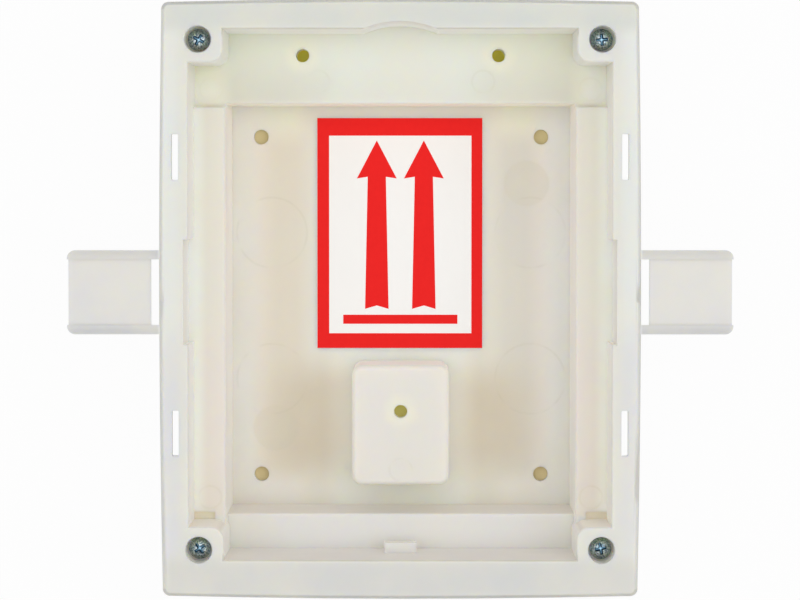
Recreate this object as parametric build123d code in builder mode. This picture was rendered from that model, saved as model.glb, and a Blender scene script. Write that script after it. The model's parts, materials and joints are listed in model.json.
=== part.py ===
from build123d import *
import os

os.makedirs("parts", exist_ok=True)

# Flush mounting box lying on its back: X runs across the wall, Y up the wall and Z out into the room.
# The origin is the middle of the back, and sizes are in millimetres.

# Depths below the front of the flange
box_depth = 45.0
side_shelf_depth = 17.0
end_shelf_depth = 23.0

# Flange, with outer edges that bow out a little, and how far it stands out from the walls
flange_width = 104.2
flange_height = 130.1
flange_side = 3.65
flange_top = 3.85
flange_bottom = 5.85
flange_thickness = 2.5
flange_crown = 0.65
flange_corner_radius = 1.6
flange_edge_radius = 1.2
rim_edge_radius = 0.5

# The one wall thickness around every hollow
wall = 2.1
corner_radius = 0.8

# Shelves that step down from the well into the pocket
side_shelf_width = 7.15
top_bay_height = 15.7
bottom_bay_height = 7.95
shelf_end_gap = 0.9
shelf_edge_radius = 0.6
shelf_recess_width = 4.7
shelf_recess_depth = 0.8

# Corner bosses for the cover screws
boss_width = 7.65
boss_height = 7.2
boss_corner_radius = 2.8
screw_inset = 2.2
screw_head_diameter = 4.8
screw_head_height = 1.9
screw_head_side = 0.9
screw_shank_diameter = 2.9
screw_length = 12.0
screw_tip_length = 2.0
screw_tip_diameter = 1.2
drive_arm_length = 2.8
drive_arm_width = 0.8
drive_depth = 1.1
drive_taper = 15.0
head_recess = 3.0
head_clearance = 0.55
shank_clearance = 0.05
bore_run_out = 4.0
screw_turns = (35.0, 62.0, 12.0, 5.0)

# Pedestal on the pocket's floor, and the fixing posts in it and under the top bay
pedestal_width = 22.0
pedestal_height = 27.2
pedestal_gap = 6.35
pedestal_corner_radius = 2.3
pedestal_edge_radius = 1.2
post_diameter = 6.6
post_bore = 3.0
bay_bore_depth = 7.5
pedestal_bore_depth = 5.0
post_overlap = 1.0
pedestal_post_rise = 3.1
bay_post_spacing = 44.2
bay_post_inset = 4.8

# Wall fixing holes and knock-outs in the floor, inset from the pocket's walls
floor_hole_inset_x = 6.75
floor_hole_inset_y = 7.1
floor_hole_diameter = 3.4
small_knockout_radius = 5.4
small_knockout_inset_x = 10.1
small_knockout_inset_y = 17.9
large_knockout_radius = 8.2
large_knockout_inset_x = 9.2
large_knockout_inset_y = 29.3
small_knockout_depth = 0.15
large_knockout_depth = 0.1

# Clip slots in the flange, and the recesses in the walls
slot_length = 10.0
slot_width = 1.5
slot_corner_radius = 0.3
slot_spacing = 60.5
side_recess_height = 23.1
side_recess_depth = 1.1
arc_chord = 16.6
arc_rise = 1.75
arc_overlap = 2.4
ledge_width = 7.1
ledge_proud = 2.3
ledge_depth = 13.3
ledge_thickness = 4.0

# Break-off tabs at both sides
tab_reach = 20.15
tab_height = 18.4
tab_rise = 0.65
tab_gap = 1.8
tab_arm_height = 2.0
tab_arm_thickness = 1.8
tab_plate_thickness = 1.2
tab_plate_recess = 0.35
tab_setback = 0.6
tab_corner_radius = 1.8
tab_plate_inset = 0.3
tab_root = 1.0

# Round marks that the mould's ejector pins leave
mark_radius = 2.6
mark_depth = 0.15
mark_inset = 3.6
bay_mark_spacing = 37.2
bay_mark_rise = 5.0
corner_mark_rise = 3.3
shelf_mark_rise = 4.2
pedestal_mark_rise = 3.5

# Orientation label on the floor, between the pocket's upper wall and the pedestal
label_width = 38.4
label_thickness = 0.15
label_drop = 2.65
label_gap = 2.85
label_shift = -0.3
label_corner_radius = 0.4

# An edge that lies this close to a line or a level is taken to lie on it
near = 0.01

# Levels above the back
front = box_depth
flange_back = front - flange_thickness
side_shelf = front - side_shelf_depth
end_shelf = front - end_shelf_depth
floor_top = wall

# Lines across the box, all measured from the middle of the flange
half_width = flange_width / 2
half_height = flange_height / 2
side_edge = half_width + flange_crown
well_width = flange_width - 2 * (flange_side + wall)
well_low = flange_bottom + wall - half_height
well_high = half_height - flange_top - wall
well_height = well_high - well_low
well_centre = (well_low + well_high) / 2
pocket_width = well_width - 2 * side_shelf_width
pocket_low = well_low + bottom_bay_height
pocket_high = well_high - top_bay_height
pocket_height = pocket_high - pocket_low
pocket_centre = (pocket_low + pocket_high) / 2
tab_centre = well_centre + tab_rise
tab_end = side_edge + tab_reach
pedestal_low = pocket_low + pedestal_gap
pedestal_high = pedestal_low + pedestal_height
pedestal_centre = (pedestal_low + pedestal_high) / 2
small_knockout_x = pocket_width / 2 - small_knockout_inset_x
label_low = pedestal_high + label_gap
label_high = pocket_high - label_drop
arc_radius = (arc_chord**2 / 4 + arc_rise**2) / (2 * arc_rise)
arc_centre = well_high + arc_rise - arc_radius
arc_window = 2 * arc_chord
screw_x = well_width / 2 - screw_inset
screw_low = well_low + screw_inset
screw_high = well_high - screw_inset
screw_places = [(-screw_x, screw_low), (-screw_x, screw_high), (screw_x, screw_low), (screw_x, screw_high)]
screw_seat = front - head_recess - screw_head_height

# Each hollow of the box: its width, its lower and upper ends, and its depth below the front
hollows = [
    (well_width, well_low, well_high, side_shelf_depth),
    (well_width, pocket_high - shelf_end_gap, well_high, end_shelf_depth),
    (pocket_width, well_low, pocket_low + shelf_end_gap, end_shelf_depth),
    (pocket_width, pocket_low, pocket_high, box_depth - wall),
]

# Fixing posts for the unit that the box holds, two under the top bay and one in the pedestal:
# their places and the depths of their bores
posts = [
    (-bay_post_spacing / 2, well_high - bay_post_inset, bay_bore_depth),
    (bay_post_spacing / 2, well_high - bay_post_inset, bay_bore_depth),
    (0, pedestal_centre + pedestal_post_rise, pedestal_bore_depth),
]

# Ejector marks: their places and the level of the face that each lies on
mark_x = well_width / 2 - mark_inset
bay_mark_y = pocket_high + bay_mark_rise
corner_mark_y = pocket_high + corner_mark_rise
shelf_mark_y = pocket_low + shelf_mark_rise
marks = [
    (-bay_mark_spacing / 2, bay_mark_y, end_shelf),
    (bay_mark_spacing / 2, bay_mark_y, end_shelf),
    (-mark_x, corner_mark_y, end_shelf),
    (mark_x, corner_mark_y, end_shelf),
    (-mark_x, shelf_mark_y, side_shelf),
    (mark_x, shelf_mark_y, side_shelf),
    (0, pedestal_low + pedestal_mark_rise, end_shelf),
]

# The moulded box
with BuildPart() as box_body:
    # Flange with bowed edges and a rounded front
    with BuildSketch(Plane.XY.offset(flange_back)) as flange_outline:
        corners = [
            (-half_width, -half_height),
            (half_width, -half_height),
            (half_width, half_height),
            (-half_width, half_height),
        ]
        with BuildLine():
            for start, end in zip(corners, corners[1:] + corners[:1]):
                SagittaArc(start, end, -flange_crown)
        make_face()
        fillet(flange_outline.vertices(), flange_corner_radius)
    extrude(amount=flange_thickness)
    fillet(box_body.edges().group_by(Axis.Z)[-1], flange_edge_radius)

    # Walls and floors: every hollow is wrapped in one wall
    for width, low, high, depth in hollows:
        with BuildSketch(Plane.XY.offset(front - depth - wall)):
            with Locations((0, (low + high) / 2)):
                RectangleRounded(width + 2 * wall, high - low + 2 * wall, corner_radius + wall)
        extrude(amount=depth + wall - flange_thickness)

    # Bulge behind the finger recess in the top wall
    with BuildSketch(Plane.XY.offset(end_shelf - wall)):
        with Locations((0, arc_centre)):
            Circle(arc_radius + wall)
        with Locations((0, well_high)):
            Rectangle(arc_window, arc_window, align=(Align.CENTER, Align.MIN), mode=Mode.INTERSECT)
    extrude(amount=flange_back - end_shelf + wall)

    # The hollows themselves
    for width, low, high, depth in hollows:
        with BuildSketch(Plane.XY.offset(front)):
            with Locations((0, (low + high) / 2)):
                Rectangle(width, high - low)
        extrude(amount=-depth, mode=Mode.SUBTRACT)

    # Rounded edges of the shelves above the pocket
    pocket_rim = box_body.edges().filter_by_position(Axis.X, -pocket_width / 2 - near, pocket_width / 2 + near)
    pocket_rim = pocket_rim.filter_by_position(Axis.Y, pocket_low - near, pocket_high + near)
    bay_edges = pocket_rim.filter_by_position(Axis.Z, end_shelf - near, end_shelf + near).sort_by(Axis.Y)
    fillet(pocket_rim.filter_by_position(Axis.Z, side_shelf - near, side_shelf + near), shelf_edge_radius)
    fillet(bay_edges[:1], shelf_edge_radius)
    fillet(bay_edges[1:], shelf_edge_radius)

    # Thin recesses at the lower ends of the side shelves, beside the walls
    with BuildSketch(Plane.XY.offset(side_shelf)):
        with Locations((0, well_low)):
            with GridLocations(well_width - shelf_recess_width, 0, 2, 1):
                Rectangle(
                    shelf_recess_width,
                    bottom_bay_height + shelf_end_gap,
                    align=(Align.CENTER, Align.MIN),
                )
    extrude(amount=-shelf_recess_depth, mode=Mode.SUBTRACT)

    # Corner bosses, rounded towards the middle of the well
    with BuildSketch(Plane.XY.offset(end_shelf)) as boss_outline:
        with Locations((0, well_centre)):
            with GridLocations(well_width - boss_width, well_height - boss_height, 2, 2):
                Rectangle(boss_width, boss_height)
        inner_corners = boss_outline.vertices().sort_by_distance((0, well_centre, end_shelf))[:4]
        fillet(inner_corners, boss_corner_radius)
    extrude(amount=end_shelf_depth)

    # Rounded edge where the flange meets the well
    opening = box_body.faces().sort_by(Axis.Z)[-1].inner_wires()[0]
    fillet(opening.edges(), rim_edge_radius)

    # Ledge on the bottom wall
    with BuildSketch(Plane.XY.offset(front - ledge_depth)):
        with Locations((0, well_low)):
            Rectangle(ledge_width, ledge_proud, align=(Align.CENTER, Align.MIN))
    extrude(amount=-ledge_thickness)

    # Pedestal with a rounded top
    with BuildSketch(Plane.XY.offset(floor_top)):
        with Locations((0, pedestal_centre)):
            RectangleRounded(pedestal_width, pedestal_height, pedestal_corner_radius)
    extrude(amount=end_shelf - floor_top)
    pedestal_top = box_body.edges().filter_by_position(Axis.Z, end_shelf - near, end_shelf + near)
    pedestal_top = pedestal_top.filter_by_position(Axis.Y, pedestal_low - near, pedestal_high + near)
    fillet(pedestal_top, pedestal_edge_radius)

    # Hollow behind the pedestal
    with BuildSketch():
        with Locations((0, pedestal_centre)):
            RectangleRounded(
                pedestal_width - 2 * wall,
                pedestal_height - 2 * wall,
                corner_radius,
            )
    extrude(amount=end_shelf - wall, mode=Mode.SUBTRACT)

    # Fixing posts, closed at their lower ends
    for x, y, depth in posts:
        with BuildSketch(Plane.XY.offset(end_shelf - depth - wall)):
            with Locations((x, y)):
                Circle(post_diameter / 2)
        extrude(amount=depth + post_overlap)
        with Locations((x, y, end_shelf)):
            Hole(post_bore / 2, depth=depth)

    # Wall fixing holes through the floor
    with Locations((0, pocket_centre, floor_top)):
        with GridLocations(pocket_width - 2 * floor_hole_inset_x, pocket_height - 2 * floor_hole_inset_y, 2, 2):
            Hole(floor_hole_diameter / 2, depth=floor_top)

    # Knock-outs are shallow discs: a large one in each corner, and a small one in two of them
    with BuildSketch(Plane.XY.offset(floor_top)):
        with Locations((0, pocket_centre)):
            with GridLocations(
                pocket_width - 2 * large_knockout_inset_x, pocket_height - 2 * large_knockout_inset_y, 2, 2
            ):
                Circle(large_knockout_radius)
    extrude(amount=-large_knockout_depth, mode=Mode.SUBTRACT)
    with BuildSketch(Plane.XY.offset(floor_top)):
        with Locations(
            (small_knockout_x, pocket_high - small_knockout_inset_y),
            (-small_knockout_x, pocket_low + small_knockout_inset_y),
        ):
            Circle(small_knockout_radius)
    extrude(amount=-small_knockout_depth, mode=Mode.SUBTRACT)

    # Ejector marks
    with Locations(*marks):
        Hole(mark_radius, depth=mark_depth)

    # Clip slots through the flange, just outside the walls
    with BuildSketch(Plane.XY.offset(front)):
        with Locations((0, well_centre)):
            with GridLocations(well_width + 2 * wall + slot_width, slot_spacing, 2, 2):
                RectangleRounded(slot_width, slot_length, slot_corner_radius)
    extrude(amount=-flange_thickness, mode=Mode.SUBTRACT)

    # Recesses in the side walls beside the tabs, and the finger recess in the top wall
    with BuildSketch(Plane.XY.offset(front)):
        with Locations((0, tab_centre)):
            Rectangle(well_width + 2 * side_recess_depth, side_recess_height)
            Rectangle(well_width - 2 * side_shelf_width, side_recess_height, mode=Mode.SUBTRACT)
    extrude(amount=-side_shelf_depth, mode=Mode.SUBTRACT)
    with BuildSketch(Plane.XY.offset(front)):
        with Locations((0, arc_centre)):
            Circle(arc_radius)
        with Locations((0, well_high - arc_overlap)):
            Rectangle(arc_window, arc_window, align=(Align.CENTER, Align.MIN), mode=Mode.INTERSECT)
    extrude(amount=-end_shelf_depth, mode=Mode.SUBTRACT)

    # Counterbored holes for the cover screws
    with Locations(*[(x, y, front) for x, y in screw_places]):
        CounterBoreHole(
            radius=screw_shank_diameter / 2 + shank_clearance,
            counter_bore_radius=screw_head_diameter / 2 + head_clearance,
            counter_bore_depth=front - screw_seat,
            depth=front - screw_seat + screw_length + bore_run_out,
        )

    # Break-off tabs: two arms that join the flange, and a thin plate between them
    with BuildSketch(Plane.XY.offset(front - tab_setback)) as tab_arms:
        with Locations((half_width - tab_root, tab_centre)):
            Rectangle(tab_end - half_width + tab_root, tab_height, align=(Align.MIN, Align.CENTER))
        fillet(tab_arms.vertices().group_by(Axis.X)[-1], tab_corner_radius)
        with Locations((half_width - tab_root, tab_centre)):
            Rectangle(
                tab_end - half_width + tab_root,
                tab_height - 2 * tab_arm_height,
                align=(Align.MIN, Align.CENTER),
                mode=Mode.SUBTRACT,
            )
        mirror(about=Plane.YZ)
    extrude(amount=-tab_arm_thickness)
    with BuildSketch(Plane.XY.offset(front - tab_setback - tab_plate_recess)):
        with Locations((side_edge + tab_gap, tab_centre)):
            Rectangle(
                tab_reach - tab_gap - tab_plate_inset,
                tab_height - 2 * tab_arm_height,
                align=(Align.MIN, Align.CENTER),
            )
        mirror(about=Plane.YZ)
    extrude(amount=-tab_plate_thickness)
box_body.part.label = "box_body"
export_step(box_body.part, "parts/box_body.step")

# One cover screw: a domed head with a tapered cross recess, and a shank with a blunt tip
with BuildPart() as screw:
    with BuildSketch(Plane.XZ):
        with BuildLine():
            crown = (0, screw_length + screw_head_height)
            head_rim = (screw_head_diameter / 2, screw_length + screw_head_side)
            TangentArc(crown, head_rim, tangent=(1, 0))
            Polyline(
                head_rim,
                (screw_head_diameter / 2, screw_length),
                (screw_shank_diameter / 2, screw_length),
                (screw_shank_diameter / 2, screw_tip_length),
                (screw_tip_diameter / 2, 0),
                (0, 0),
                crown,
            )
        make_face()
    revolve(axis=Axis.Z)
    with BuildSketch(Plane.XY.offset(screw_length + screw_head_height)):
        Rectangle(drive_arm_length, drive_arm_width)
        Rectangle(drive_arm_width, drive_arm_length)
    extrude(amount=-drive_depth, taper=drive_taper, mode=Mode.SUBTRACT)

# The four cover screws, each with its head seated in its counterbore and turned as it was left
with BuildPart() as cover_screws:
    for (x, y), turn in zip(screw_places, screw_turns):
        with Locations((x, y, screw_seat - screw_length)):
            add(screw.part, rotation=(0, 0, turn))
cover_screws.part.label = "cover_screws"
export_step(cover_screws.part, "parts/cover_screws.step")

# Label that shows which way up the box goes, flat on the floor
with BuildPart() as orientation_label:
    with BuildSketch(Plane.XY.offset(floor_top)):
        with Locations((label_shift, (label_low + label_high) / 2)):
            RectangleRounded(label_width, label_high - label_low, label_corner_radius)
    extrude(amount=label_thickness)
orientation_label.part.label = "orientation_label"
export_step(orientation_label.part, "parts/orientation_label.step")
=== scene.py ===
import json

import bpy
from mathutils import Matrix, Vector


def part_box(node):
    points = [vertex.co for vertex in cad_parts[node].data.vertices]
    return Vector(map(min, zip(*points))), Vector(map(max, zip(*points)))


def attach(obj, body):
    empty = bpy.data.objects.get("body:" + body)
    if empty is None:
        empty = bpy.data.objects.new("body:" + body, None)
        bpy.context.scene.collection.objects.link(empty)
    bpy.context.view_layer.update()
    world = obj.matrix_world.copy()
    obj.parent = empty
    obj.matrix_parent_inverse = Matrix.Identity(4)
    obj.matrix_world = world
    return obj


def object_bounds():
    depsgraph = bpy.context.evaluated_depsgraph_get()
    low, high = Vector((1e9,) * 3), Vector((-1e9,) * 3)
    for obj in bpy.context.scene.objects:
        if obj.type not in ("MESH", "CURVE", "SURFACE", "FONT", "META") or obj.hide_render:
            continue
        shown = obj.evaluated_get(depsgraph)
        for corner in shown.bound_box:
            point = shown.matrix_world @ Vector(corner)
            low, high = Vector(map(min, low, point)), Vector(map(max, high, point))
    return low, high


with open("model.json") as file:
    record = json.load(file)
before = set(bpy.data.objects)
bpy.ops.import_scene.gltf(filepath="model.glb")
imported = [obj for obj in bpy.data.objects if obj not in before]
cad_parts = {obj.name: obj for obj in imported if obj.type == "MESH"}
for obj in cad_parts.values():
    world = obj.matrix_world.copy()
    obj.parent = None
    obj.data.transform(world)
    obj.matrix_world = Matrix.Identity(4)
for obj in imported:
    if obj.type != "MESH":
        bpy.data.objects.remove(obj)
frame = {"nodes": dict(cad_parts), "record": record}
cad_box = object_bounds()

MM = 0.001

# Places that the frame gives, in metres
FRONT = cad_box[1].z
MOUNTS = {mount["name"]: mount for mount in frame["record"]["mounts"]}
WALL_HOLES = MOUNTS["wall_fixing_holes"]
WALL_HOLE_X = WALL_HOLES["dims"]["spacing_x_mm"] / 2 * MM
WALL_HOLE_Y = WALL_HOLES["dims"]["spacing_y_mm"] / 2 * MM
POCKET_CENTRE = WALL_HOLES["pos_m"][1]
UNIT_POSTS = MOUNTS["unit_posts"]
BAY_BORE_X = UNIT_POSTS["dims"]["spacing_x_mm"] / 2 * MM
BAY_BORE_Y = UNIT_POSTS["pos_m"][1]
BAY_DEPTH = FRONT - UNIT_POSTS["pos_m"][2]
BORE_RADIUS = UNIT_POSTS["dims"]["hole_r_mm"] * MM
PEDESTAL_BORE_Y = MOUNTS["pedestal_post"]["pos_m"][1]
SCREWS_LOW, SCREWS_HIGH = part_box("cover_screws")
WELL_CENTRE = (SCREWS_LOW.y + SCREWS_HIGH.y) / 2

# The screws' heads: their places from the well's middle, and the crown and radius of their domes
SCREW_HEAD_RADIUS = 2.4 * MM
SCREW_X = (SCREWS_HIGH.x - SCREWS_LOW.x) / 2 - SCREW_HEAD_RADIUS
SCREW_Y = (SCREWS_HIGH.y - SCREWS_LOW.y) / 2 - SCREW_HEAD_RADIUS
SCREW_CROWN = FRONT - 3.0 * MM
SCREW_DOME = 3.38 * MM

# Other places on the moulding that its finish follows
WELL_HIGH = 59.1 * MM
POCKET_HALF_HEIGHT = 46.275 * MM
POCKET_HALF_WIDTH = 39.2 * MM
POCKET_LOW = POCKET_CENTRE - POCKET_HALF_HEIGHT
POCKET_HIGH = POCKET_CENTRE + POCKET_HALF_HEIGHT
STRIP_SIDE = 41.65 * MM
STRIP_TOP = -48.25 * MM
TAB_CENTRE = 1.65 * MM
PEDESTAL_CENTRE = -29.2 * MM
PEDESTAL_HALF_HEIGHT = 13.6 * MM
SMALL_KNOCKOUT_X = 29.1 * MM
SMALL_KNOCKOUT_Y = 28.4 * MM
SMALL_KNOCKOUT_RADIUS = 5.4 * MM
LARGE_KNOCKOUT_X = 30.0 * MM
LARGE_KNOCKOUT_Y = 17.0 * MM
LARGE_KNOCKOUT_RADIUS = 8.2 * MM
MARK_RADIUS = 2.6 * MM

# Round outlines on both sides of the middle: across, up, radius and how clearly each shows
ROUND_MARKS = [
    (18.6 * MM, 48.4 * MM, MARK_RADIUS, 0.1),
    (42.75 * MM, 46.7 * MM, MARK_RADIUS, 0.05),
    (42.75 * MM, -44.95 * MM, MARK_RADIUS, 0.1),
    (0.0, -39.3 * MM, MARK_RADIUS, 0.1),
    (LARGE_KNOCKOUT_X, POCKET_CENTRE + LARGE_KNOCKOUT_Y, LARGE_KNOCKOUT_RADIUS, 0.12),
    (LARGE_KNOCKOUT_X, POCKET_CENTRE - LARGE_KNOCKOUT_Y, LARGE_KNOCKOUT_RADIUS, 0.12),
]

# Print on the label, measured from the label's middle
INK_THICKNESS = 0.03 * MM
INK_MARGIN = 0.05 * MM
PRINT_SHIFT = 0.12 * MM
BORDER_LEFT = 2.79 * MM
BORDER_RIGHT = 2.58 * MM
BORDER_TOP = 4.13 * MM
BORDER_BOTTOM = 3.5 * MM
ARROW_COUNT = 2
ARROW_SPACING = 10.92 * MM
ARROW_TIP = 21.51 * MM
BARB_LEVEL = 12.7 * MM
BARB_REACH = 4.62 * MM
NECK_LEVEL = 13.1 * MM
NECK_REACH = 2.1 * MM
FOOT_LEVEL = -17.59 * MM
FOOT_REACH = 2.73 * MM
NOTCH_LEVEL = -16.79 * MM
BAR_REACH = 13.27 * MM
BAR_TOP = -18.95 * MM
BAR_BOTTOM = -21.06 * MM

# Camera, light and paper
CAMERA_PLACE = Vector((4 * MM, 24 * MM, FRONT + 672.6 * MM))
CAMERA_AIM = Vector((0, 0, FRONT))
CAMERA_LENS = 138.6
SENSOR_WIDTH = 36.0
AMBIENT = 0.58
PAPER_GLOW = 0.95
PAPER_REACH = 3.0
PAPER_LEVEL = -0.2 * MM


def colour(red, green, blue):
    """A screen colour, 0 to 255, as linear light by the sRGB curve."""

    def linear(level):
        share = level / 255
        return share / 12.92 if share <= 0.04045 else ((share + 0.055) / 1.055) ** 2.4

    return (linear(red), linear(green), linear(blue), 1.0)


# Plastic on the flange and the tabs
RIM_LOWER = colour(226, 227, 229)
RIM_UPPER = colour(231, 234, 233)
RIM_BY_OPENING = colour(229, 229, 222)
# Painted shade on the rim's top and bottom ends, where less light falls
RIM_TOP_END_SHADE = colour(221, 224, 220)
RIM_BOTTOM_END_SHADE = colour(219, 220, 218)
# Painted shade on the flange's rounded outer edges and on the opening's rounded edge
RIM_SIDE_EDGE_SHADE = colour(212, 214, 213)
RIM_END_EDGE_SHADE = colour(192, 193, 191)
OPENING_EDGE_SHADE = colour(205, 204, 194)
TAB_PLATE = colour(222, 222, 224)
# Painted shade on the tabs' arms and along their edges
TAB_ARM_SHADE = colour(213, 214, 216)
TAB_ARM_EDGE_SHADE = colour(202, 204, 207)

# Plastic on the pedestal's top, the side shelves and the bays
PEDESTAL_TOP = colour(241, 236, 230)
SHELF_LOWER = colour(236, 231, 227)
SHELF_UPPER = colour(236, 234, 227)
# Painted light on the side shelves by the walls, against the shade in the corner there
SHELF_LIT_BY_WALL = colour(246, 247, 242)
# Painted light, browner, on the strip at the side shelves' lower ends
SHELF_END_LIGHT = colour(243, 235, 222)
# Upper bay: painted light by its wall and painted shade towards the pocket
UPPER_BAY_LIT_BY_WALL = colour(239, 241, 232)
UPPER_BAY_SHADED_BY_POCKET = colour(226, 226, 217)
UPPER_BAY_MIDDLE = colour(237, 240, 237)
# Painted light in the upper bay's corners, against the shade there
UPPER_BAY_LEFT_CORNER_LIGHT = colour(243, 244, 231)
UPPER_BAY_RIGHT_CORNER_LIGHT = colour(248, 249, 243)
UPPER_BAY_INNER_CORNER_LIGHT = colour(255, 254, 244)
LOWER_BAY = colour(231, 231, 231)
LOWER_BAY_CORNER = colour(233, 234, 232)

# Plastic on the pocket's floor
FLOOR_LEFT = colour(236, 229, 216)
FLOOR_RIGHT = colour(231, 228, 221)
# Painted light on the floor by its end walls, against the shade near them
FLOOR_TOP_END_LIGHT = colour(249, 245, 228)
FLOOR_BOTTOM_END_LIGHT = colour(246, 240, 232)
FLOOR_BY_LABEL = colour(240, 236, 226)
# Painted light on the floor by its side walls, against the shade near them
FLOOR_LIT_BY_LEFT_WALL = colour(255, 243, 236)
FLOOR_LIT_BY_RIGHT_WALL = colour(255, 245, 240)
# Painted shadow of the pedestal on the floor at its left and right
FLOOR_PEDESTAL_SHADOW = colour(227, 218, 201)
# Painted light on the floor close round the pedestal and below it
FLOOR_PEDESTAL_LIGHT = colour(255, 247, 236)
KNOCKOUT_DISC = colour(222, 217, 198)

# Plastic on the walls, and where light comes through it
# Painted light on the pocket's walls, for light that comes through them
POCKET_WALL_LIGHT = colour(255, 253, 243)
POCKET_UPPER_WALL = colour(252, 247, 222)
# Painted shade on the well's upper wall and on the lower walls, which the light only grazes
WELL_UPPER_WALL_SHADE = colour(234, 237, 224)
LOWER_WALL_SHADE = colour(214, 209, 202)
LOWER_WALL_CORNER = colour(238, 229, 212)
# Greenish on the pedestal's upper side: painted to cancel the pink light that the label's print throws
# there
PEDESTAL_UPPER_SIDE = colour(230, 244, 234)
POCKET_OUTSIDE = colour(240, 239, 231)
CLOUD = colour(240, 235, 220)
MARK_OUTLINE = colour(196, 190, 168)
BORE_GLOW = colour(255, 249, 228)
BORE_WALL = colour(255, 251, 226)
BAY_BORE_END = colour(255, 241, 114)
PEDESTAL_BORE_END = colour(255, 233, 136)

# Plating, label and paper
# Painted reflections, glints, shade and highlight on the screws' heads
ZINC_DULL = colour(112, 136, 152)
ZINC_GLINT = colour(222, 236, 246)
ZINC_EDGE_SHADE = colour(116, 134, 144)
ZINC_EDGE_GLINT = colour(178, 192, 200)
RECESS_ARM_SHADE = colour(74, 104, 122)
RECESS_MIDDLE_HIGHLIGHT = colour(130, 162, 180)
FILM_WHITE = colour(255, 255, 255)
FILM_DULL = colour(252, 252, 252)
INK_BRIGHT = colour(247, 40, 38)
INK_DEEP = colour(241, 36, 36)
PAPER = colour(231, 231, 231)
PAPER_UNDER_HOLES = colour(232, 215, 167)
WHITE = (1, 1, 1, 1)

scene = bpy.context.scene
scene.view_settings.view_transform = "Standard"


class Value:
    """One output socket of a node tree. Arithmetic on it adds Math nodes to that tree."""

    def __init__(self, nodes, socket):
        self.nodes = nodes
        self.socket = socket

    def math(self, operation, *others):
        return self.nodes.math(operation, self, *others)

    def __add__(self, other):
        return self.math("ADD", other)

    def __radd__(self, other):
        return self.nodes.math("ADD", other, self)

    def __sub__(self, other):
        return self.math("SUBTRACT", other)

    def __rsub__(self, other):
        return self.nodes.math("SUBTRACT", other, self)

    def __mul__(self, other):
        return self.math("MULTIPLY", other)

    def __rmul__(self, other):
        return self.nodes.math("MULTIPLY", other, self)

    def __truediv__(self, other):
        return self.math("DIVIDE", other)

    def __abs__(self):
        return self.math("ABSOLUTE")

    def at_least(self, other):
        return self.math("MAXIMUM", other)

    def ramp(self, start, end):
        """0 at the start and 1 at the end, smooth between them and held beyond them."""
        limits = {"Value": self, "From Min": start, "From Max": end}
        return self.nodes.node("ShaderNodeMapRange", {"interpolation_type": "SMOOTHSTEP"}, limits)

    def ramp_mm(self, start, end):
        """The same for a length, with its start and end in millimetres."""
        return self.ramp(start * MM, end * MM)


class Nodes:
    """A node tree that is built one node at a time."""

    def __init__(self, tree):
        self.tree = tree

    def node(self, kind, settings=None, inputs=None, output=0):
        """Adds a node, sets it up, feeds its inputs, and returns one output, or for None the node."""
        made = self.tree.nodes.new(kind)
        for key, setting in (settings or {}).items():
            setattr(made, key, setting)
        for key, value in (inputs or {}).items():
            self.feed(made.inputs[key], value)
        return made if output is None else Value(self, made.outputs[output])

    def feed(self, socket, value):
        if isinstance(value, Value):
            self.tree.links.new(value.socket, socket)
        else:
            socket.default_value = value

    def math(self, operation, *values):
        return self.node("ShaderNodeMath", {"operation": operation}, dict(enumerate(values)))

    def seen_directly(self):
        """1 for what the camera, a reflection or clear glass sees, 0 for light that is scattered."""
        path = self.node("ShaderNodeLightPath", output=None)
        rays = ("Is Camera Ray", "Is Glossy Ray", "Is Transmission Ray")
        camera, glossy, through = (Value(self, path.outputs[ray]) for ray in rays)
        return camera.at_least(glossy).at_least(through)


class Finish(Nodes):
    """A material with one Principled shader, whose patterns follow the object's own coordinates."""

    def __init__(self, name):
        self.material = bpy.data.materials.new(name)
        self.material.use_nodes = True
        super().__init__(self.material.node_tree)
        self.shader = self.tree.nodes["Principled BSDF"]
        self.place = self.node("ShaderNodeTexCoord", output="Object")
        parts = self.split(self.place)
        self.x, self.y, self.z = parts["X"], parts["Y"], parts["Z"]

    def split(self, vector):
        made = self.node("ShaderNodeSeparateXYZ", inputs={"Vector": vector}, output=None)
        return {axis: Value(self, made.outputs[axis]) for axis in "XYZ"}

    def set(self, **sockets):
        for name, value in sockets.items():
            self.feed(self.shader.inputs[name.replace("_", " ")], value)

    def noise(self, size, detail=2.0):
        """Clouds about that many metres across, from 0 to 1."""
        inputs = {"Vector": self.place, "Scale": 1 / size, "Detail": detail}
        return self.node("ShaderNodeTexNoise", inputs=inputs, output="Fac")

    def mix(self, share, first, second):
        """A share of the second colour in the first. A Mix node has colours at inputs 6, 7 and output 2."""
        made = self.node("ShaderNodeMix", {"data_type": "RGBA"}, {0: share, 6: first, 7: second}, None)
        return Value(self, made.outputs[2])

    def layers(self, ground, *coats):
        """Lays each coat, a share and a colour, over what is below it."""
        for share, coat in coats:
            ground = self.mix(share, ground, coat)
        return ground

    def bump(self, height, depth, strength):
        inputs = {"Height": height, "Distance": depth, "Strength": strength}
        return self.node("ShaderNodeBump", inputs=inputs, output="Normal")

    def facing(self):
        """The three shares of the direction that the surface faces."""
        return self.split(self.node("ShaderNodeNewGeometry", output="Normal"))

    def distance(self, x, y):
        return self.math("SQRT", x * x + y * y)

    def reach(self, x, y):
        """Distance in metres from an upright line at that place."""
        return self.distance(self.x - x, self.y - y)


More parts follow.
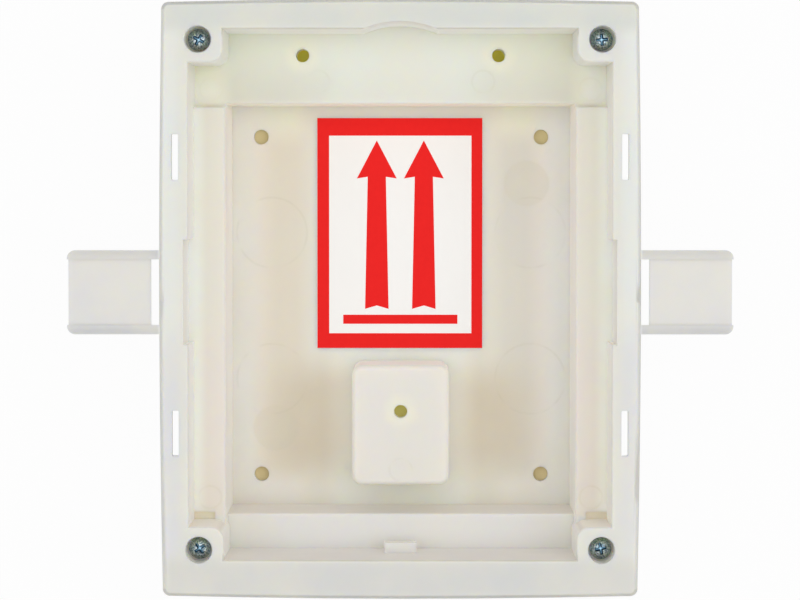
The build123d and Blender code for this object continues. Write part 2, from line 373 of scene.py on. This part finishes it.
def rim_tone(finish, facing):
    """Greys of the flange and the tabs: greener above, pinker below, creamier towards the opening, with
    painted shade at both ends, on the rounded edges and on the tabs' arms.
    """
    across, up = abs(finish.x), finish.y
    upper_half = up.ramp_mm(-16, 0)
    by_opening = 0.8 * across.ramp_mm(50, 47)
    # Painted shade on the rim's top and bottom ends
    painted_top_end = up.ramp_mm(57, 61)
    painted_bottom_end = up.ramp_mm(-55, -59)

    from_tab = abs(up - TAB_CENTRE)
    # Painted shade on the tabs' arms and along their edges
    shaded_arms = from_tab.ramp_mm(6.6, 7.4)
    shaded_arm_edges = from_tab.ramp_mm(7.4, 9.2)
    past_flange = across.ramp_mm(52.6, 53.2)
    tabs = finish.layers(TAB_PLATE, (shaded_arms, TAB_ARM_SHADE), (shaded_arm_edges, TAB_ARM_EDGE_SHADE))

    # Painted shade on the rounded edges, where they turn away from the light
    rounded_shade = facing["Z"].ramp(0.99, 0.85)
    shaded_side_edges = across.ramp_mm(50.5, 51.0)
    shaded_end_edges = abs(up).ramp_mm(63.2, 63.7)
    inside_ends = abs(up).ramp_mm(63.2, 62.7)
    shaded_well_ends = abs(up - WELL_CENTRE).ramp_mm(56.0, 57.5) * across.ramp_mm(46.2, 45.8)
    return finish.layers(
        RIM_LOWER,
        (upper_half, RIM_UPPER),
        (by_opening, RIM_BY_OPENING),
        (painted_top_end, RIM_TOP_END_SHADE),
        (painted_bottom_end, RIM_BOTTOM_END_SHADE),
        (past_flange, tabs),
        (rounded_shade * shaded_side_edges, RIM_SIDE_EDGE_SHADE),
        (rounded_shade * shaded_end_edges, RIM_END_EDGE_SHADE),
        (rounded_shade * shaded_well_ends * inside_ends, OPENING_EDGE_SHADE),
    )


def shelf_tone(finish):
    """Creams of the pedestal's top, the side shelves and the two bays, with painted light by the side
    walls, in the upper bay's corners and on the shelves' lower ends, and painted light and shade across the
    upper bay.
    """
    across, up = abs(finish.x), finish.y
    upper_half = up.ramp_mm(-16, 0)
    # Painted light on the side shelves by the walls
    light_by_side_walls = across.ramp_mm(43, 46)
    shelves = finish.layers(SHELF_LOWER, (upper_half, SHELF_UPPER), (light_by_side_walls, SHELF_LIT_BY_WALL))

    # Painted light in the upper bay's corners
    to_the_right = finish.x.ramp_mm(-20, 20)
    inner_side = up.ramp_mm(51, 45)
    lit_upper_corners = finish.layers(
        UPPER_BAY_LEFT_CORNER_LIGHT,
        (to_the_right, UPPER_BAY_RIGHT_CORNER_LIGHT),
        (inner_side, UPPER_BAY_INNER_CORNER_LIGHT),
    )
    # Painted light by the upper bay's wall, painted shade towards the pocket
    shade_towards_pocket = up.ramp(WELL_HIGH, POCKET_HIGH)
    middle = 0.6 * across.ramp_mm(26, 10)
    light_in_upper_corners = across.ramp_mm(37, 43)
    upper_bay = finish.layers(
        UPPER_BAY_LIT_BY_WALL,
        (shade_towards_pocket, UPPER_BAY_SHADED_BY_POCKET),
        (middle, UPPER_BAY_MIDDLE),
        (light_in_upper_corners, lit_upper_corners),
    )
    in_lower_corners = across.ramp_mm(34, 39)
    lower_bay = finish.mix(in_lower_corners, LOWER_BAY, LOWER_BAY_CORNER)

    # Painted light on the strip where the side shelves step down to the lower bosses: browner, and lighter
    # than its shade
    lit_strip_height = (up - STRIP_TOP).ramp_mm(0.4, -0.3) * up.ramp_mm(-51, -50.5)
    lit_strip = lit_strip_height * (across - STRIP_SIDE).ramp_mm(-0.3, 0.3)

    on_shelves = across.ramp_mm(14, 36)
    above_pocket = (up - POCKET_HIGH).ramp_mm(-0.5, 0.5)
    below_pocket = (POCKET_LOW - up).ramp_mm(-0.5, 0.5)
    return finish.layers(
        PEDESTAL_TOP,
        (on_shelves, shelves),
        (above_pocket, upper_bay),
        (below_pocket, lower_bay),
        (lit_strip, SHELF_END_LIGHT),
    )


def floor_tone(finish):
    """Cream of the pocket's floor, paler near the label, with painted light near the walls and round the
    pedestal, and the pedestal's brownish painted shadow beside it.
    """
    across, up = abs(finish.x), finish.y
    to_the_right = finish.x.ramp_mm(-20, 20)
    # Painted light by the walls at the floor's ends and sides
    painted_top_end = up.ramp_mm(33, 41)
    painted_bottom_end = up.ramp_mm(-39, -45)
    by_label = across.ramp_mm(25, 20)
    light_by_walls = across.ramp_mm(28, 36)
    wall_side_light = finish.mix(to_the_right, FLOOR_LIT_BY_LEFT_WALL, FLOOR_LIT_BY_RIGHT_WALL)
    # Painted shadow of the pedestal to its left and right
    along_pedestal = (abs(up - PEDESTAL_CENTRE) - PEDESTAL_HALF_HEIGHT).ramp_mm(3, -8)
    pedestal_shadow_beside = across.ramp_mm(10, 19) * across.ramp_mm(36, 22)
    # Painted light on the floor close round the pedestal
    pedestal_light_round = across.ramp_mm(19, 13) * up.ramp_mm(-6, -10)
    tone = finish.layers(
        FLOOR_LEFT,
        (to_the_right, FLOOR_RIGHT),
        (painted_top_end, FLOOR_TOP_END_LIGHT),
        (painted_bottom_end, FLOOR_BOTTOM_END_LIGHT),
        (by_label, FLOOR_BY_LABEL),
        (light_by_walls, wall_side_light),
        (along_pedestal * pedestal_shadow_beside, FLOOR_PEDESTAL_SHADOW),
        (pedestal_light_round * (1 - 0.6 * along_pedestal), FLOOR_PEDESTAL_LIGHT),
    )
    for side in (1, -1):
        from_middle = finish.reach(side * SMALL_KNOCKOUT_X, POCKET_CENTRE + side * SMALL_KNOCKOUT_Y)
        disc = 0.25 * (from_middle - SMALL_KNOCKOUT_RADIUS).ramp_mm(0.2, -0.5)
        tone = finish.mix(disc, tone, KNOCKOUT_DISC)
    return tone


def wall_tone(finish, facing):
    """Palest, with painted light, on the pocket's walls; duller, with painted shade, on the well's ends and
    on the pocket's lower wall.
    """
    across, up = abs(finish.x), finish.y
    facing_down = facing["Y"].ramp(-0.5, -0.8)
    facing_up = facing["Y"].ramp(0.5, 0.8)
    # Greenish on the pedestal's upper side, painted against the label's pink bounce light
    on_pedestal = up.ramp_mm(-40, -20)
    in_corners = across.ramp_mm(39, 41)
    # Painted shade on the lower walls, lighter in the corners
    shaded_lower_walls = finish.layers(
        LOWER_WALL_SHADE,
        (on_pedestal, PEDESTAL_UPPER_SIDE),
        (in_corners, LOWER_WALL_CORNER),
    )
    # Painted shade on the well's upper wall
    above_pocket = up.ramp_mm(46, 50)
    in_pocket = up.ramp_mm(46, 45)
    return finish.layers(
        POCKET_WALL_LIGHT,
        (above_pocket, WELL_UPPER_WALL_SHADE),
        (facing_down * in_pocket, POCKET_UPPER_WALL),
        (facing_up, shaded_lower_walls),
    )


def with_marks(finish, tone, level):
    """Adds the dull, broken outlines of the ejector marks and of the knock-outs."""
    broken = finish.noise(5 * MM).ramp(0.35, 0.6)
    for x, y, radius, strength in ROUND_MARKS:
        past_edge = finish.distance(abs(finish.x) - x, finish.y - y) - radius
        line = past_edge.ramp_mm(-0.5, -0.1) * past_edge.ramp_mm(0.35, 0)
        tone = finish.mix(strength * level * broken * line, tone, MARK_OUTLINE)
    return tone


def with_bores(finish, tone, level, depth):
    """Adds light that comes through the plastic: a glow round the bays' bores, yellow in every bore."""
    sunk = (depth - BAY_DEPTH).ramp_mm(0.2, 0.8)
    for x, y, end in (
        (-BAY_BORE_X, BAY_BORE_Y, BAY_BORE_END),
        (BAY_BORE_X, BAY_BORE_Y, BAY_BORE_END),
        (0.0, PEDESTAL_BORE_Y, PEDESTAL_BORE_END),
    ):
        from_middle = finish.reach(x, y)
        glow = 0.5 * from_middle.ramp_mm(5, 1.6) * (1 - sunk)
        bore = (from_middle - BORE_RADIUS).ramp_mm(0.15, 0.05) * sunk
        tone = finish.layers(tone, (glow, BORE_GLOW), (bore, finish.mix(level, BORE_WALL, end)))
    return tone


def moulded_plastic():
    """Milky, slightly translucent plastic: greyer on the rim, creamier inside, with painted shade at both
    ends and painted light and shade in many places inside.
    """
    finish = Finish("moulded_plastic")
    facing = finish.facing()
    depth = FRONT - finish.z
    across, up = abs(finish.x), finish.y
    level = facing["Z"].ramp(0.3, 0.8)
    upright = abs(facing["Z"]).ramp(0.8, 0.2)
    in_well = across.ramp_mm(47.0, 46.6) * abs(up - WELL_CENTRE).ramp_mm(58.8, 58.4)
    walls = upright * depth.ramp_mm(0.3, 2.5) * in_well
    past_side = (across - POCKET_HALF_WIDTH).ramp_mm(0.8, 1.4)
    past_end = (abs(up - POCKET_CENTRE) - POCKET_HALF_HEIGHT).ramp_mm(0.8, 1.4)
    outside = past_side.at_least(past_end) * (depth - BAY_DEPTH).ramp_mm(1.0, 1.6)
    below_rim = depth.ramp_mm(0, 17)
    below_shelves = depth.ramp_mm(25, 42)
    inside = finish.mix(below_shelves, shelf_tone(finish), floor_tone(finish))
    clouds = 0.25 * finish.noise(16 * MM, detail=3).ramp(0.35, 0.7)
    tone = finish.layers(
        rim_tone(finish, facing),
        (below_rim, inside),
        (walls, wall_tone(finish, facing)),
        (outside, POCKET_OUTSIDE),
        (clouds, CLOUD),
    )
    tone = with_marks(finish, tone, level)
    tone = with_bores(finish, tone, level, depth)
    finish.set(
        Base_Color=tone,
        Roughness=0.46 + 0.14 * finish.noise(1.5 * MM),
        Specular_IOR_Level=0.3,
        Sheen_Weight=0.6,
        Subsurface_Weight=1.0,
        Subsurface_Radius=(1.0, 0.85, 0.5),
        Subsurface_Scale=2.5 * MM,
        Normal=finish.bump(finish.noise(0.4 * MM, detail=1), depth=0.02 * MM, strength=0.25),
    )
    return finish.material


def blue_zinc():
    """Bluish plating with painted glints and reflections round the cross recess, painted shade in it and
    towards the head's edge, and a painted highlight in its middle.
    """
    finish = Finish("blue_zinc")
    reach = finish.distance(abs(finish.x) - SCREW_X, abs(finish.y - WELL_CENTRE) - SCREW_Y)
    # Painted glints on the head's crown
    painted_glints = finish.noise(0.35 * MM, detail=3).ramp(0.38, 0.62)
    glinting_crown = finish.mix(painted_glints, ZINC_DULL, ZINC_GLINT)
    # Painted shade, with glints, towards the head's edge
    shade_towards_edge = reach.ramp_mm(1.45, 1.85)
    edge = finish.mix(painted_glints, ZINC_EDGE_SHADE, ZINC_EDGE_GLINT)
    # Painted shade in the cross recess, with a painted highlight in its middle
    below_dome = SCREW_CROWN - finish.z - reach * reach / (2 * SCREW_DOME)
    shade_in_recess = below_dome.ramp_mm(0.1, 0.3) * reach.ramp_mm(1.7, 1.5)
    recess = finish.mix(reach.ramp_mm(0.5, 0.2), RECESS_ARM_SHADE, RECESS_MIDDLE_HIGHLIGHT)
    finish.set(
        Base_Color=finish.layers(glinting_crown, (shade_towards_edge, edge), (shade_in_recess, recess)),
        Metallic=1.0,
        Roughness=0.2 + 0.25 * finish.noise(0.25 * MM),
        Normal=finish.bump(finish.noise(0.3 * MM, detail=2), depth=0.05 * MM, strength=0.6),
    )
    return finish.material


def label_film():
    """Matt white film that lies a little unevenly."""
    finish = Finish("label_film")
    finish.set(
        Base_Color=finish.mix(finish.noise(9 * MM), FILM_WHITE, FILM_DULL),
        Roughness=0.45 + 0.08 * finish.noise(2 * MM),
        Specular_IOR_Level=0.2,
        Normal=finish.bump(finish.noise(6 * MM, detail=1), depth=0.05 * MM, strength=0.2),
    )
    return finish.material


def red_ink():
    """Matt red ink, slightly mottled."""
    finish = Finish("red_ink")
    finish.set(
        Base_Color=finish.mix(finish.noise(1.2 * MM), INK_BRIGHT, INK_DEEP),
        Roughness=0.5 + 0.1 * finish.noise(0.8 * MM),
        Specular_IOR_Level=0.06,
        Normal=finish.bump(finish.noise(0.5 * MM, detail=1), depth=0.01 * MM, strength=0.3),
    )
    return finish.material


def give(piece, material):
    piece.data.materials.clear()
    piece.data.materials.append(material)


def printing_tree():
    """Geometry nodes that thicken a flat outline into a closed plate of ink and repeat it in a row."""
    tree = bpy.data.node_groups.new("printed_ink", "GeometryNodeTree")
    tree.is_modifier = True
    tree.interface.new_socket("Geometry", in_out="OUTPUT", socket_type="NodeSocketGeometry")
    inputs = {
        "Outline": "Geometry",
        "Thickness": "Float",
        "Count": "Int",
        "Spacing": "Float",
        "Material": "Material",
    }
    for name, kind in inputs.items():
        tree.interface.new_socket(name, in_out="INPUT", socket_type=f"NodeSocket{kind}")
    nodes = Nodes(tree)
    given = nodes.node("NodeGroupInput", output=None)
    outline, thickness, count, spacing, material = (Value(nodes, given.outputs[name]) for name in inputs)
    upper = nodes.node(
        "GeometryNodeExtrudeMesh",
        {"mode": "FACES"},
        {"Mesh": outline, "Offset Scale": thickness, "Individual": False},
    )
    lower = nodes.node("GeometryNodeFlipFaces", inputs={"Mesh": outline})
    shell = nodes.node("GeometryNodeJoinGeometry", inputs={"Geometry": upper}, output=None)
    tree.links.new(lower.socket, shell.inputs["Geometry"])
    closed = nodes.node(
        "GeometryNodeMergeByDistance",
        inputs={"Geometry": Value(nodes, shell.outputs[0]), "Distance": 0.1 * INK_THICKNESS},
    )
    first = (count - 1) * spacing * -0.5
    row = nodes.node(
        "GeometryNodeMeshLine",
        {"mode": "OFFSET", "count_mode": "TOTAL"},
        {
            "Count": count,
            "Start Location": nodes.node("ShaderNodeCombineXYZ", inputs={"X": first}),
            "Offset": nodes.node("ShaderNodeCombineXYZ", inputs={"X": spacing}),
        },
    )
    copies = nodes.node("GeometryNodeInstanceOnPoints", inputs={"Points": row, "Instance": closed})
    plain = nodes.node("GeometryNodeRealizeInstances", inputs={"Geometry": copies})
    inked = nodes.node("GeometryNodeSetMaterial", inputs={"Geometry": plain, "Material": material})
    nodes.node("NodeGroupOutput", inputs={"Geometry": inked}, output=None)
    return tree


def printed(name, corners, faces, tree, ink, count=1, spacing=0.0):
    """A piece of print on the label's face, from flat corners measured from the label's middle."""
    low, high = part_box("orientation_label")
    mesh = bpy.data.meshes.new(name)
    mesh.from_pydata([(x, y, 0) for x, y in corners], [], faces)
    piece = bpy.data.objects.new(name, mesh)
    scene.collection.objects.link(piece)
    modifier = piece.modifiers.new("print", "NODES")
    modifier.node_group = tree
    values = {"Thickness": INK_THICKNESS, "Count": count, "Spacing": spacing, "Material": ink}
    for item in tree.interface.items_tree:
        if item.in_out == "INPUT" and item.name in values:
            modifier[item.identifier] = values[item.name]
    bpy.context.view_layer.update()
    evaluated = piece.evaluated_get(bpy.context.evaluated_depsgraph_get())
    settled = bpy.data.meshes.new_from_object(evaluated)
    piece.modifiers.clear()
    piece.data = settled
    settled.transform(Matrix.Translation(((low.x + high.x) / 2, (low.y + high.y) / 2, high.z)))
    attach(piece, "root")
    return piece


def rectangle(left, low, right, high):
    return [(left, low), (right, low), (right, high), (left, high)]


def print_label():
    """The sign for this way up: two arrows over a bar, in a border."""
    low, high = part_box("orientation_label")
    half_width = (high.x - low.x) / 2
    half_height = (high.y - low.y) / 2
    tree = printing_tree()
    ink = red_ink()
    arrow = [
        (0, ARROW_TIP),
        (-BARB_REACH, BARB_LEVEL),
        (-NECK_REACH, NECK_LEVEL),
        (-FOOT_REACH, FOOT_LEVEL),
        (0, NOTCH_LEVEL),
        (FOOT_REACH, FOOT_LEVEL),
        (NECK_REACH, NECK_LEVEL),
        (BARB_REACH, BARB_LEVEL),
    ]
    arrow = [(x + PRINT_SHIFT, y) for x, y in arrow]
    printed("label_arrows", arrow, [tuple(range(len(arrow)))], tree, ink, ARROW_COUNT, ARROW_SPACING)

    bar = rectangle(PRINT_SHIFT - BAR_REACH, BAR_BOTTOM, PRINT_SHIFT + BAR_REACH, BAR_TOP)
    printed("label_bar", bar, [tuple(range(len(bar)))], tree, ink)

    outer_x, outer_y = half_width - INK_MARGIN, half_height - INK_MARGIN
    outer = rectangle(-outer_x, -outer_y, outer_x, outer_y)
    inner = rectangle(
        BORDER_LEFT - half_width,
        BORDER_BOTTOM - half_height,
        half_width - BORDER_RIGHT,
        half_height - BORDER_TOP,
    )
    sides = []
    for corner in range(len(outer)):
        following = (corner + 1) % len(outer)
        sides.append((corner, following, len(outer) + following, len(outer) + corner))
    printed("label_border", outer + inner, sides, tree, ink)


def pale_paper():
    """The paper that the box lies on, white to the camera, with the box's shadow on it."""
    mesh = bpy.data.meshes.new("floor")
    corners = rectangle(-PAPER_REACH, -PAPER_REACH, PAPER_REACH, PAPER_REACH)
    mesh.from_pydata([(x, y, 0) for x, y in corners], [], [tuple(range(len(corners)))])
    floor = bpy.data.objects.new("floor", mesh)
    scene.collection.objects.link(floor)
    floor.location.z = PAPER_LEVEL
    finish = Finish("floor_paper")

    # Warm light reaches the paper through the wall fixing holes
    from_hole_x = abs(finish.x) - WALL_HOLE_X
    from_hole_y = abs(finish.y - POCKET_CENTRE) - WALL_HOLE_Y
    clear = finish.distance(from_hole_x, from_hole_y).ramp_mm(2.6, 3.0)
    finish.set(Base_Color=finish.mix(clear, PAPER_UNDER_HOLES, PAPER), Roughness=0.9)
    glow = finish.node("ShaderNodeEmission", inputs={"Color": WHITE, "Strength": 1.0})
    share = PAPER_GLOW * finish.seen_directly() * clear
    paper = Value(finish, finish.shader.outputs[0])
    surface = finish.node("ShaderNodeMixShader", inputs={0: share, 1: paper, 2: glow})
    finish.feed(finish.tree.nodes["Material Output"].inputs["Surface"], surface)
    give(floor, finish.material)


def pale_room():
    """Even light from all round, and white where the camera sees past the paper."""
    world = bpy.data.worlds.new("pale_room")
    scene.world = world
    world.use_nodes = True
    nodes = Nodes(world.node_tree)
    background = world.node_tree.nodes["Background"]
    background.inputs["Color"].default_value = WHITE
    nodes.feed(background.inputs["Strength"], AMBIENT + (1 - AMBIENT) * nodes.seen_directly())


def softbox(name, place, width, height, watts):
    lamp = bpy.data.lights.new(name, "AREA")
    lamp.shape = "RECTANGLE"
    lamp.size = width
    lamp.size_y = height
    lamp.energy = watts
    box = bpy.data.objects.new(name, lamp)
    scene.collection.objects.link(box)
    box.location = place
    box.rotation_euler = (CAMERA_AIM - box.location).to_track_quat("-Z", "Y").to_euler()


def camera_over_the_box():
    data = bpy.data.cameras.new("camera")
    data.sensor_width = SENSOR_WIDTH
    data.lens = CAMERA_LENS
    camera = bpy.data.objects.new("camera", data)
    scene.collection.objects.link(camera)
    back = (CAMERA_PLACE - CAMERA_AIM).normalized()
    right = Vector((0, 1, 0)).cross(back).normalized()
    turn = Matrix((right, back.cross(right), back)).transposed()
    camera.location = CAMERA_PLACE
    camera.rotation_euler = turn.to_euler()
    scene.camera = camera


give(frame["nodes"]["box_body"], moulded_plastic())
give(frame["nodes"]["cover_screws"], blue_zinc())
give(frame["nodes"]["orientation_label"], label_film())
print_label()
pale_paper()
pale_room()
softbox("softbox_above", place=(0, 0.05, 1.1), width=0.7, height=0.7, watts=1.0)
softbox("softbox_left", place=(-0.42, 0.05, 0.95), width=0.5, height=0.8, watts=1.35)
softbox("softbox_right", place=(0.42, 0.05, 0.95), width=0.5, height=0.8, watts=2.15)
camera_over_the_box()
